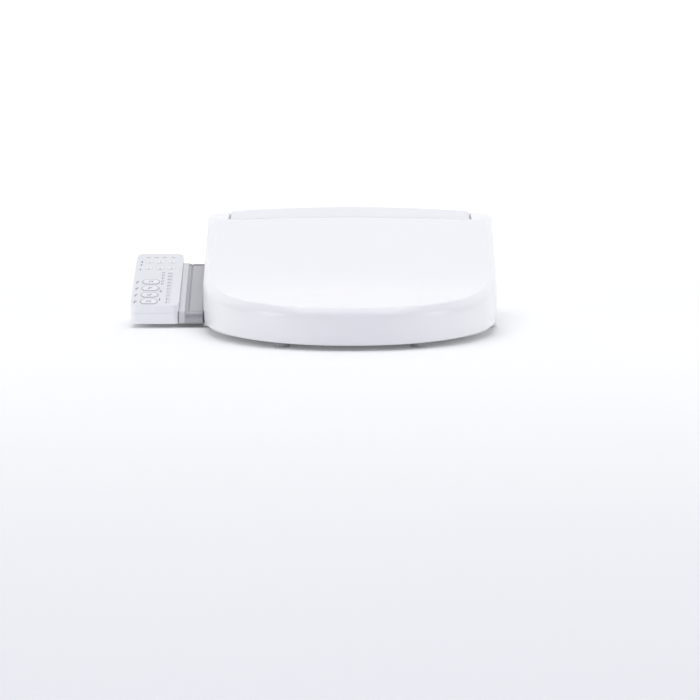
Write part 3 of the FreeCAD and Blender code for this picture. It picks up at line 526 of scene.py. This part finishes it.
def slab(name, outline, x0, x1, edge):
    """A plate across X with its outline in Y and Z and its two rims rounded by edge."""
    ahead = np.roll(outline, -1, 0) - np.roll(outline, 1, 0)
    inward = np.stack([-ahead[:, 1], ahead[:, 0]], -1) / np.linalg.norm(ahead, axis=1)[:, None]
    area = np.sum(outline[:, 0] * np.roll(outline[:, 1], -1) - outline[:, 1] * np.roll(outline[:, 0], -1))
    if area < 0:
        inward = -inward
    rim = np.linspace(0, math.pi / 2, 5)
    sections = [(x0 + edge * (1 - math.sin(a)), edge * (1 - math.cos(a))) for a in rim[::-1]]
    sections += [(x1 - edge * (1 - math.sin(a)), edge * (1 - math.cos(a))) for a in rim]
    closed = []
    for x, inset in sections:
        loop = outline + inward * inset
        closed.append(np.column_stack([np.full(len(loop), x), loop])[np.arange(len(loop) + 1) % len(loop)])
    made = grid_mesh(name, [np.array(closed)])
    shape = bmesh.new()
    shape.from_mesh(made.data)
    bmesh.ops.holes_fill(shape, edges=shape.edges[:], sides=0)
    bmesh.ops.recalc_face_normals(shape, faces=shape.faces)
    shape.to_mesh(made.data)
    shape.free()
    made.data.set_sharp_from_angle(angle=math.radians(60))
    return made


axis_y = 2.0
axis_z = 128.0                  # the hinge axis that the seat and the lid share
eye_round = 10.5
eye = [(axis_y + eye_round * math.cos(a), axis_z + eye_round * math.sin(a), 0)
       for a in np.linspace(math.radians(-72), math.radians(117), 22)]
arm_line = rounded_corners([(-131.2, 68.2, 12), (-150, 58, 6), (-150, 45.4, 2), (-136, 45.4, 4),
                            (-124.8, 55.8, 6)] + eye)
for side, x0, x1 in (("left", -179.0, -168.8), ("right", 168.8, 179.0)):
    arm = slab("seat_arm_" + side, arm_line, x0, x1, 1.6)
    arm.data.materials.append(seat_finish)
    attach(arm, "seat")
    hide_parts("seat_top_shell")


# ---- lid ---------------------------------------------------------------------------------------
# One high-gloss shell: a nearly flat top that bends up to the rear, a crisp crease, a chamfered band
# and a deep skirt. Behind the rear edge two ears run round the hinge axis beside the strip.
tip_y = -474.0
curve_y = -214.0                # the sides run nearly straight from here to the rear
lid_half = 193.5
side_taper = 0.027              # the sides open this much per millimetre towards the rear
ear_line = 168.5
rear_edge = -36.0
ear_round = 17.5
band_across = 9.0               # width of the chamfered band in plan
band_drop = 9.6                 # and its fall


def lid_height(y):
    """Centre line of the lid's top: two slopes joined by a hyperbola."""
    def bend(u):
        return ((u - 175.0) + np.hypot(u - 175.0, 130.0)) / 2
    return 51.5 + 0.34 * (bend(y - tip_y) - bend(0.0))


def lid_crown(x, y):
    """Fall of the top from the middle to the sides, fading towards the tip."""
    fade = np.clip((y - tip_y) / 300.0, 0.0, 1.0)
    return 3.4 * (x / 168.0) ** 2 * (0.25 + 0.75 * fade)


outline_x, outline_y = front_curve(lid_half, tip_y, curve_y, side_taper, rear_edge)
length = np.concatenate([[0], np.cumsum(np.hypot(np.diff(outline_x), np.diff(outline_y)))])
step_at = np.interp([-198.0, -195.0, -193.4, -190.0], outline_y, length)
stops = np.sort(np.concatenate([np.linspace(0, length[-1], 96), step_at]))
edge_x = np.interp(stops, length, outline_x)
edge_y = np.interp(stops, length, outline_y)
slope_x = np.gradient(outline_x, length)
slope_y = np.gradient(outline_y, length)
normal_x = np.interp(stops, length, slope_y)
normal_y = -np.interp(stops, length, slope_x)
square = np.clip((edge_y - curve_y) / 80.0, 0, 1)
normal_y *= 1 - square * square * (3 - 2 * square)
normal_x = np.sqrt(1 - normal_y ** 2)
normal_x[0], normal_y[0] = 0.0, -1.0

# the ear: from the rear edge along the tangent to the circle about the hinge axis, then round it
rise_y, rise_z = axis_y - rear_edge, axis_z - lid_height(rear_edge)
far = math.hypot(rise_y, rise_z)
heading = math.atan2(rise_z, rise_y) + math.asin(ear_round / far)
tangent_turn = heading + math.pi / 2
tangent = np.array([axis_y + ear_round * math.cos(tangent_turn),
                    axis_z + ear_round * math.sin(tangent_turn)])
climb = np.linspace(0, 1, 9)[1:, None]
tangent_line = np.array([rear_edge, lid_height(rear_edge)]) * (1 - climb) + tangent * climb
sleeve_end = math.radians(18)    # the sleeve stops short of the seat's arm when the lid stands open
swing = np.linspace(tangent_turn, sleeve_end, 20)[1:]
arc = np.stack([axis_y + ear_round * np.cos(swing), axis_z + ear_round * np.sin(swing)], -1)
ear_path = np.concatenate([tangent_line, arc])
down_line = np.tile([-math.cos(tangent_turn), -math.sin(tangent_turn)], (len(tangent_line), 1))
down_line[:, 0] *= climb[:, 0]
down_line /= np.linalg.norm(down_line, axis=1)[:, None]
ear_down = np.concatenate([down_line, np.stack([-np.cos(swing), -np.sin(swing)], -1)])
ears = len(ear_path)
ear_share = np.linspace(0, 1, ears + 1)[1:]
ear_crown = 1 - 0.8 * np.clip((ear_share - 0.5) / 0.5, 0, 1)   # the crown runs out round the back
ear_x = lid_half + side_taper * (ear_path[:, 0] - curve_y) - 0.9 * ear_share ** 3


def skirt_edge(y):
    """Height of the skirt's lower edge: level at the front, stepping up over the unit's wings."""
    front = np.interp(y, [tip_y, -304.0, -194.2], [6.0, 11.0, 12.5])
    low_y, low_z = 6.3, 111.0
    rear = 59.5 + (y + 193.5) * (low_z - 59.5) / (low_y + 193.5)
    return np.where(y < -194.0, front, rear)


low_turn = math.radians(-75.7)   # where the skirt's edge meets the sleeve
low_y = axis_y + ear_round * math.cos(low_turn)
low_z = axis_z + ear_round * math.sin(low_turn)
low_a = np.linspace(0, 1, 9)[1:]
low_first = np.stack([rear_edge + (low_y - rear_edge) * low_a,
                      skirt_edge(rear_edge) + (low_z - skirt_edge(rear_edge)) * low_a], -1)
low_swing = np.linspace(low_turn, sleeve_end, ears - 8 + 1)[1:]


def lid_line(inset, drop, to_skirt=None):
    """One line of the lid from the tip round to the ear's end, at an inset from the outline.

    Over the top it lies drop below the surface; with to_skirt it lies on the wall, that share of the
    way from the band's lower line to the skirt's lower edge."""
    x = edge_x - inset * normal_x
    y = edge_y - inset * normal_y
    top = lid_height(y) - lid_crown(x, y) - drop
    end_x = ear_x - inset
    fade = 1.0 - 0.72 * np.clip((ear_share - 0.25) / 0.75, 0, 1)
    fall = lid_crown(end_x, 0 * end_x) * ear_crown + drop * fade
    end = ear_path + ear_down * fall[:, None]
    if to_skirt is not None:
        foot = skirt_edge(edge_y)
        top = top * (1 - to_skirt) + foot * to_skirt
        last = ear_round - fall[-1]
        shrink = ear_round + (last - ear_round) * np.linspace(0, 1, len(low_swing))
        low_arc = np.stack([axis_y + shrink * np.cos(low_swing), axis_z + shrink * np.sin(low_swing)], -1)
        low = np.concatenate([low_first, low_arc])
        end = end * (1 - to_skirt) + low * to_skirt
    return np.concatenate([np.stack([x, y, top], -1), np.column_stack([end_x, end])])


plate_inset = 29.5              # inset of the plate's inner line from the outline


def top_line(inner_share):
    """A line on the top plate between its inner edge and the crease."""
    inset_front = plate_inset + (band_across - plate_inset) * inner_share
    line = lid_line(inset_front, 0.0)
    inner_x = ear_line + (ear_x - band_across - ear_line) * inner_share
    line[-ears:, 0] = inner_x
    fall = lid_crown(inner_x, 0 * inner_x) * ear_crown
    line[-ears:, 1:] = ear_path + ear_down * fall[:, None]
    return line


# blend the plate's inner line into the ear's inner edge over the last straight of the side
rows = []
for share in np.linspace(0, 1, 8)[:-1]:
    line = top_line(share)
    straight = np.clip((edge_y + 150.0) / 114.0, 0, 1)
    target = ear_line + (edge_x - band_across - ear_line) * share
    count = len(edge_x)
    line[:count, 0] += (target - line[:count, 0]) * straight ** 2 * (3 - 2 * straight)
    line[:count, 2] = lid_height(line[:count, 1]) - lid_crown(line[:count, 0], line[:count, 1])
    line[:count, 1] = np.where(straight > 0.999, rear_edge, line[:count, 1])
    rows.append(line)
crease = [(band_across + 0.7, 0.02), (band_across + 0.2, 0.12), (band_across - 0.3, 0.45)]
rows += [lid_line(inset, drop) for inset, drop in crease]
band = [(0.75, 0.22), (0.5, 0.45), (0.3, 0.66), (0.17, 0.82), (0.08, 0.98), (0.03, 1.2), (0.0, 1.5)]
rows += [lid_line(band_across * across, band_drop * fall) for across, fall in band]
wall_rows = [(0.06, 0.0), (0.16, 0.0), (0.3, 0.05), (0.45, 0.2), (0.6, 0.45), (0.75, 0.8), (0.88, 1.2),
             (0.96, 1.5), (0.985, 1.75), (1.0, 2.4)]
rows += [lid_line(inset, band_drop * 1.5, share) for share, inset in wall_rows]
right = np.array(rows)
left = right[:, ::-1].copy()
left[:, :, 0] *= -1
band_grid = np.concatenate([left, right[:, 1:]], axis=1)
inner_line = right[0, :len(edge_x)]
across = np.linspace(-1, 1, 41)
plate_x = inner_line[:, 0:1] * across
plate_y = np.repeat(inner_line[:, 1:2], len(across), 1)
plate = np.stack([plate_x, plate_y, lid_height(plate_y) - lid_crown(plate_x, plate_y)], -1)
lid_finish = gloss_moulding("lid_high_gloss_white", (0.9, 0.9, 0.925), 0.24, 0.18, 0.02, 0.015)
lid = walled(grid_mesh("lid_cover", [band_grid, plate], 1e-5), 3.0)
lid.data.materials.append(lid_finish)
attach(lid, "lid")
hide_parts("lid_shell")
dress("lid_buffers", rubber_finish)

# the boss inside each ear that turns on the hinge pin
for side, sign in (("left", -1), ("right", 1)):
    turn = np.linspace(0, 2 * math.pi, 49)
    bore, inside, outside = 4.05, 180.0, 196.2
    profile = np.array([(inside, bore), (inside, 8.4), (inside + 0.6, 9.0), (outside, 9.0), (outside, bore),
                        (inside, bore)])
    boss = np.stack([sign * profile[:, 0:1] + 0 * turn, axis_y + profile[:, 1:2] * np.cos(turn),
                     axis_z + profile[:, 1:2] * np.sin(turn)], -1)
    hub = grid_mesh("lid_boss_" + side, [boss])
    hub.data.set_sharp_from_angle(angle=math.radians(40))
    hub.data.materials.append(lid_finish)
    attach(hub, "lid")
    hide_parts("lid_shell")


# ---- side arm ----------------------------------------------------------------------------------
# The hollow arm that carries the control panel beside the unit: one moulding with a raised lip next
# to the panel, a groove along its slope and a slot across its front. Its colour holds painted light and
# shade: a lighter copy of the finish on the rim beside the panel, and painted shade, grey, over the rest
# where the lid shades the arm.
panel_right = -228.0
flank_front = -195.6            # x of the unit's flank at its front end
lit_rim_share = 0.24                # the lighter copy of the finish, painted light on the rim, takes this much of the arm's width
arm_section = rounded_corners([(-195, 5, 3), (-195, 20.7, 5), (-93, 79.5, 6), (-79, 70, 8), (-79, 5, 3)], 8)
arm_loop = evenly(np.concatenate([arm_section, arm_section[:1]]), 150)
along_arm = np.roll(arm_loop, -1, 0) - np.roll(arm_loop, 1, 0)
along_arm[0], along_arm[-1] = arm_loop[1] - arm_loop[0], arm_loop[-1] - arm_loop[-2]
along_arm /= np.maximum(np.linalg.norm(along_arm, axis=1), 1e-9)[:, None]
arm_inward = np.stack([along_arm[:, 1], -along_arm[:, 0]], -1)
across_arm = np.concatenate([np.linspace(0, 0.2, 6), np.linspace(0.22, 0.5, 22), np.linspace(0.55, 1, 8)])
flank_x = flank_front - 2.5 * (arm_loop[:, 0] + 193) / 249
arm_x = panel_right + (flank_x[:, None] - panel_right) * across_arm
on_top = np.clip((arm_loop[:, 1] - 19.0) / 6.0, 0, 1) * np.clip((-82.0 - arm_loop[:, 0]) / 8.0, 0, 1)
lip_step = 1.9 / (1 + np.exp(-(across_arm - 0.27) * 60))
groove = 1.6 * np.exp(-((across_arm - 0.4) / 0.025) ** 2)
in_slot = np.clip(2.6 - np.abs(arm_loop[:, 1] - 14.6) / 1.1, 0, 1) * (arm_loop[:, 0] < -194.0)
slot_across = 3.4 / (1 + np.exp(-(across_arm - 0.3) * 60))
sink = on_top[:, None] * (lip_step + groove) + in_slot[:, None] * slot_across
arm_surface = np.stack([arm_x, arm_loop[:, 0:1] + arm_inward[:, 0:1] * sink,
                        arm_loop[:, 1:2] + arm_inward[:, 1:2] * sink], -1)
# lit and shaded copies of one moulding: the grey is painted shade where the lid shades the arm, the lighter
# rim copy is painted light on the band beside the panel
arm_shade_finish = gloss_moulding("arm_painted_shade_grey", (0.47, 0.465, 0.49), 0.4, 0.1)
side_arm = walled(grid_mesh("side_arm", [arm_surface], 1e-6), 2.0)
side_arm.data.materials.append(arm_shade_finish)
side_arm.data.materials.append(gloss_moulding("arm_rim_painted_light", (0.68, 0.675, 0.7), 0.36, 0.15))
lit_rim_end = panel_right + (flank_front - panel_right) * lit_rim_share
for face in side_arm.data.polygons:
    face.material_index = int(face.center.x < lit_rim_end * MM)
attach(side_arm, "unit")
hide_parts("panel_arm")


# ---- control panel -----------------------------------------------------------------------------
# Two white shells closed round the board: the upper one has a grey satin film over its sloping face,
# with openings for the keys, and the lower one goes down to the foot.
panel_front_y, panel_front_z = -198.0, 29.5
face_slope = math.atan2(60.5, 120.0)
panel_finish = gloss_moulding("panel_satin_grey", (0.8, 0.81, 0.835), 0.36, 0.15, 0.02)
skirt_finish = gloss_moulding("panel_case_white", (0.95, 0.955, 0.985), 0.32, 0.25, 0.03, 0.01)
upper = softened("panel_upper_case", "panel_top", "unit", 0.7 * MM, 4)
upper.data.materials.append(skirt_finish)
upper.data.materials.append(panel_finish)
film_facing = np.array([0.0, -math.sin(face_slope), math.cos(face_slope)])
for face in upper.data.polygons:
    face.material_index = int(face.normal @ Vector(film_facing) > 0.99)
lower = softened("panel_lower_case", "panel_foot", "unit", 0.8 * MM, 3)
lower.data.materials.append(skirt_finish)


def lens_finish():
    """Smoked strip: pale bands where the lamps sit behind it."""
    finish = Finish("smoked_lens")
    wave = {"wave_type": "BANDS", "bands_direction": "Y"}
    lamps = finish.node("ShaderNodeTexWave", wave, {"Vector": finish.place(), "Scale": 42.0}, "Fac")
    tone = finish.blend(lamps, (0.7, 0.71, 0.74), (0.76, 0.77, 0.8))
    return finish.shade(Base_Color=tone, Roughness=0.3 - lamps * 0.06, Coat_Weight=0.2)


dress("indicator_lens", lens_finish())


# ---- keys --------------------------------------------------------------------------------------
# Four long wash keys and six small setting keys, satin caps with drafted sides and faintly dished tops,
# over silicone domes.
def on_face(x, p, h):
    """Point on the panel: across, up the slope from its front edge, and above its face."""
    return np.stack([x + 0 * p, panel_front_y + p * math.cos(face_slope) - h * math.sin(face_slope),
                     panel_front_z + p * math.sin(face_slope) + h * math.cos(face_slope)], -1)


def pill(length, width, turn):
    """Outline of a bar with half-round ends, by the direction of its normal."""
    run = (length - width) / 2
    return run * np.sign(np.cos(turn)) * (np.abs(np.cos(turn)) > 1e-9) + width / 2 * np.cos(turn), \
        width / 2 * np.sin(turn)


def key_cap(name, x, p, length, width, height, body, node, material, slot):
    """A cap from its flange up the sides, over a rounded edge to the dished top, closed at the middle."""
    turn = np.linspace(0, 2 * math.pi, 65)
    profile = [(-0.3, -3.3), (-0.25, -2.6), (0.0, -2.6), (0.0, height - 0.35), (0.1, height - 0.12),
               (0.32, height), (0.7, height - 0.02), (1.4, height - 0.12), (2.2, height - 0.2)]
    rings = []
    for inset, h in profile:
        a, b = pill(length - 2 * inset, width - 2 * inset, turn)
        rings.append(on_face(x + a, p + b, h + 0 * a))
    for shrink in (0.5, 0.0):
        a, b = pill(length - 4.4, width - 4.4, turn)
        run = a * (0.6 + 0.4 * shrink) if shrink else a * 0.6
        rings.append(on_face(x + run, p + b * shrink, height - 0.24 + 0 * a))
    cap = grid_mesh(name, [np.array(rings)], 1e-6)
    made = bmesh.new()
    made.from_mesh(cap.data)
    bmesh.ops.holes_fill(made, edges=made.edges[:], sides=0)
    bmesh.ops.recalc_face_normals(made, faces=made.faces)
    made.to_mesh(cap.data)
    made.free()
    cap.data.set_sharp_from_angle(angle=math.radians(50))
    cap.data.materials.append(material)
    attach(cap, body)
    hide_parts(node)
    return cap


wash_finish = gloss_moulding("wash_key_satin", (0.87, 0.88, 0.905), 0.33, 0.2, 0.02)
small_finish = gloss_moulding("small_key_satin", (0.9, 0.905, 0.925), 0.38, 0.1, 0.02)
key_pitch = 16.6                # the keys are this far apart up the slope
wash_size = (21.3, 10.6, 0.7)   # length, width, and height above the face
small_size = (9.4, 6.4, 0.5)
wash_rows = [10.5 + key_pitch * i for i in range(4)]
wash_places = [(-268.3, p) for p in wash_rows]
small_places = [(x, p) for p in (95.8, 112.4) for x in (-273.8, -258.5, -243.2)]
for i, (x, p) in enumerate(wash_places, 1):
    key_cap(f"wash_cap_{i}", x, p, *wash_size, f"wash_key_{i}_body", f"wash_key_{i}", wash_finish,
            "key_white")
for i, (x, p) in enumerate(small_places, 1):
    key_cap(f"small_cap_{i}", x, p, *small_size, f"small_key_{i}_body", f"small_key_{i}", small_finish,
            "key_small")


# ---- printed marks -----------------------------------------------------------------------------
# Grey pad-printed marks, a few hundredths of a millimetre thick: plain strokes and dots on the face
# beside the keys and on their caps. The grey ring round each wash key is painted shadow, the dark
# line round the raised key, in the same ink.
def print_and_shadow_finish():
    """Screen ink, also used as painted shadow in the rings round the wash keys: slightly broken tone,
    duller than the plastic.
    """
    finish = Finish("grey_print_and_painted_shadow")
    broken = finish.noise(2600.0, 2.0)
    tone = finish.blend(broken, (0.17, 0.175, 0.2), (0.27, 0.275, 0.3))
    return finish.shade(Base_Color=tone, Roughness=broken * 0.15 + 0.5)


print_and_shadow_ink = print_and_shadow_finish()


def strokes(name, marks, base, body):
    """Flat bars at (x, p, length, width, turn in degrees), lying at a height above the panel's face."""
    x, p, run, wide, turn = np.array(marks, float).T[:, :, None]
    turn = np.radians(turn)
    a = np.array([-0.5, 0.5, 0.5, -0.5])[None] * run
    b = np.array([-0.5, -0.5, 0.5, 0.5])[None] * wide
    px = x + a * np.cos(turn) - b * np.sin(turn)
    pp = p + a * np.sin(turn) + b * np.cos(turn)
    low = on_face(px, pp, base - 0.04 + 0 * px)
    top = on_face(px, pp, base + 0.05 + 0 * px)
    corners = np.concatenate([low, top], 1).reshape(-1, 3) * MM
    first = (np.arange(len(marks)) * 8)[:, None, None]
    box = np.array([[3, 2, 1, 0], [4, 5, 6, 7], [0, 1, 5, 4], [1, 2, 6, 5], [2, 3, 7, 6], [3, 0, 4, 7]])
    mesh = bpy.data.meshes.new(name)
    mesh.from_pydata(corners.tolist(), [], (first + box).reshape(-1, 4).tolist())
    mesh.materials.append(print_and_shadow_ink)
    piece = bpy.data.objects.new(name, mesh)
    scene.collection.objects.link(piece)
    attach(piece, body)
    return piece


def shadow_rings(name, places, length, width, thick, body):
    """A grey ring round each place, painted shadow for the dark line round a raised key: a thin closed band
    along the outline of a bar with round ends.
    """
    turn = np.linspace(0, 2 * math.pi, 49)
    grids = []
    for x, p in places:
        rings = []
        for grow, h in ((0, -0.04), (0, 0.05), (thick, 0.05), (thick, -0.04), (0, -0.04)):
            a, b = pill(length + 2 * grow, width + 2 * grow, turn)
            rings.append(on_face(x + a, p + b, h + 0 * a))
        grids.append(np.array(rings))
    piece = grid_mesh(name, grids)
    piece.data.materials.append(print_and_shadow_ink)
    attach(piece, body)
    return piece


# painted shadow: the dark line round each raised wash key, as a grey ring on the face
shadow_rings("key_painted_shadow_rings", wash_places, 22.6, 11.9, 0.6, "unit")

face_marks = []
for x, run in ((-276.0, 2.4), (-265.1, 2.8), (-253.8, 2.4), (-242.2, 2.0)):
    face_marks += [(x - 0.55 * run, 124.2, run, 1.1, 0), (x + 0.65 * run, 124.2, run, 0.9, 0)]
face_marks += [(-284.0, 112.4, 1.6, 5.0, 0), (-284.6, 104.6, 1.8, 3.4, 0), (-285.2, 92.6, 1.8, 3.6, 0)]
for p in wash_rows:
    face_marks += [(-287.4, p - 1.4, 1.3, 5.0, 0), (-285.4, p + 0.8, 1.1, 3.6, 0)]
face_marks += [(-254.4, 37.4, 1.4, 4.2, 0), (-252.9, 35.2, 0.9, 3.4, 0), (-254.2, 15.8, 1.5, 5.4, 0)]
for p in (55.0, 62.0, 69.5, 77.0, 83.5):
    face_marks += [(-253.8, p, 1.0, 3.6, 0), (-252.0, p + 1.0, 0.9, 3.0, 0)]
for i, run in enumerate((2.7, 2.6, 2.4, 1.6, 1.6, 1.2, 1.1, 1.2)):
    p = 83.3 - 8.1 * i
    face_marks += [(-244.2 - 0.55 * run - 0.05 * i, p, run, 1.3, 0), (-243.8 + 0.6 * run, p, run, 1.0, 0)]
face_marks += [(-244.8, 16.6, 0.6, 9.0, 0), (-245.0, 8.0, 1.8, 1.6, 0)]
strokes("panel_print", face_marks, 0.0, "unit")

icons = [[(-2.2, 0, 1.1, 4.4, -30), (2.2, 0, 1.1, 4.4, 30), (0, -1.2, 2.2, 1.1, 0)],
         [(-2.2, -0.2, 1.1, 3.4, 35), (0.6, -0.4, 1.5, 4.0, -35), (3.0, 0.6, 1.4, 1.4, 0)],
         [(-1.6, 0, 1.5, 4.4, -30), (1.0, 0.9, 3.2, 1.2, 0)],
         [(-2.0, 0.4, 1.1, 3.4, 25), (0.2, 1.6, 2.4, 1.1, 0), (2.0, 0.4, 1.1, 3.4, -25)]]
for i, (x, p) in enumerate(wash_places, 1):
    marks = [(x + a, p + b, run, wide, turn) for a, b, run, wide, turn in icons[i - 1]]
    strokes(f"wash_mark_{i}", marks, 0.5, f"wash_key_{i}_body")
for i, (x, p) in enumerate(small_places, 1):
    strokes(f"small_mark_{i}", [(x, p, 2.6, 1.2, 0)], 0.32, f"small_key_{i}_body")


# ---- studio ------------------------------------------------------------------------------------
# A pale sweep that rises behind the seat, a broad soft light overhead, weaker ones on both sides and
# in front, and the camera.
def paper(name, grid, near, far):
    """A sheet of pale studio paper, faintly mottled, its glow growing from near to far behind the seat."""
    sheet = grid_mesh(name, [grid])
    finish = Finish(name)
    mottle = finish.noise(3.0, 2.0)
    tone = finish.blend(mottle, (0.92, 0.92, 0.925), (0.94, 0.94, 0.94))
    depth = finish.node("ShaderNodeSeparateXYZ", {}, {"Vector": finish.place()}, "Y")
    reach = {"Value": depth, "From Min": 0.4, "From Max": 2.2, "To Min": near, "To Max": far}
    share = finish.node("ShaderNodeMapRange", {}, reach, "Result")
    glow = finish.blend(share, (0.0, 0.0, 0.0), (1.0, 1.0, 1.0))
    sheet.data.materials.append(finish.shade(Base_Color=tone, Roughness=0.9, Emission_Color=glow,
                                             Emission_Strength=1.0))


floor_x, floor_y = np.meshgrid(np.linspace(-6000, 6000, 13), np.linspace(-6000, 2200, 13))
paper("studio_floor", np.stack([floor_x, floor_y, 0 * floor_x - 0.4], -1), 0.06, 0.4)
curve = np.linspace(0, math.pi / 2, 25)
back_y = np.concatenate([2200 + 1500 * np.sin(curve), [3700.0]])
back_z = np.concatenate([1500 - 1500 * np.cos(curve), [5000.0]]) - 0.4
back_x = np.linspace(-6000, 6000, 13)
paper("studio_backdrop", np.stack([back_x[None] + 0 * back_y[:, None], back_y[:, None] + 0 * back_x,
                                   back_z[:, None] + 0 * back_x], -1), 0.4, 0.4)

world = bpy.data.worlds.new("studio")
scene.world = world
world.use_nodes = True
world.node_tree.nodes["Background"].inputs[0].default_value = (0.94, 0.95, 1.0, 1)
world.node_tree.nodes["Background"].inputs[1].default_value = 0.4


def softbox(name, place, aim, width, depth, watts, colour):
    """A rectangular light at a place, facing a point."""
    lamp = bpy.data.lights.new(name, "AREA")
    lamp.shape = "RECTANGLE"
    lamp.size = width
    lamp.size_y = depth
    lamp.energy = watts
    lamp.color = colour
    holder = bpy.data.objects.new(name, lamp)
    holder.location = place
    gaze = np.array(aim, float) - np.array(place, float)
    turn = math.atan2(-gaze[0], gaze[1])
    tilt = math.atan2(math.hypot(gaze[0], gaze[1]), -gaze[2])
    holder.rotation_euler = (tilt, 0, turn)
    scene.collection.objects.link(holder)
    return holder


softbox("overhead", (0.0, 0.1, 2.6), (0.0, -0.15, 0.0), 3.0, 2.4, 39.5, (1.0, 0.995, 0.99))
softbox("left_side", (-2.4, -0.9, 0.9), (0.0, -0.3, 0.05), 1.2, 1.4, 11.5, (1.0, 1.0, 1.0))
softbox("right_side", (2.4, -0.7, 0.9), (0.0, -0.3, 0.05), 1.2, 1.4, 10.5, (1.0, 1.0, 1.0))
softbox("front_fill", (0.0, -3.2, 1.5), (0.0, -0.4, 0.05), 2.4, 1.4, 11.0, (0.72, 0.78, 1.0))

lens = bpy.data.cameras.new("camera")
lens.sensor_width = 36.0
lens.lens = 36.0 * 2475.0 / 700.0
camera = bpy.data.objects.new("camera", lens)
camera.location = (0.0, -3.474, 0.3366)
camera.rotation_euler = (math.radians(90 - 6.38), 0, 0)
scene.collection.objects.link(camera)
scene.camera = camera
scene.view_settings.view_transform = "Standard"
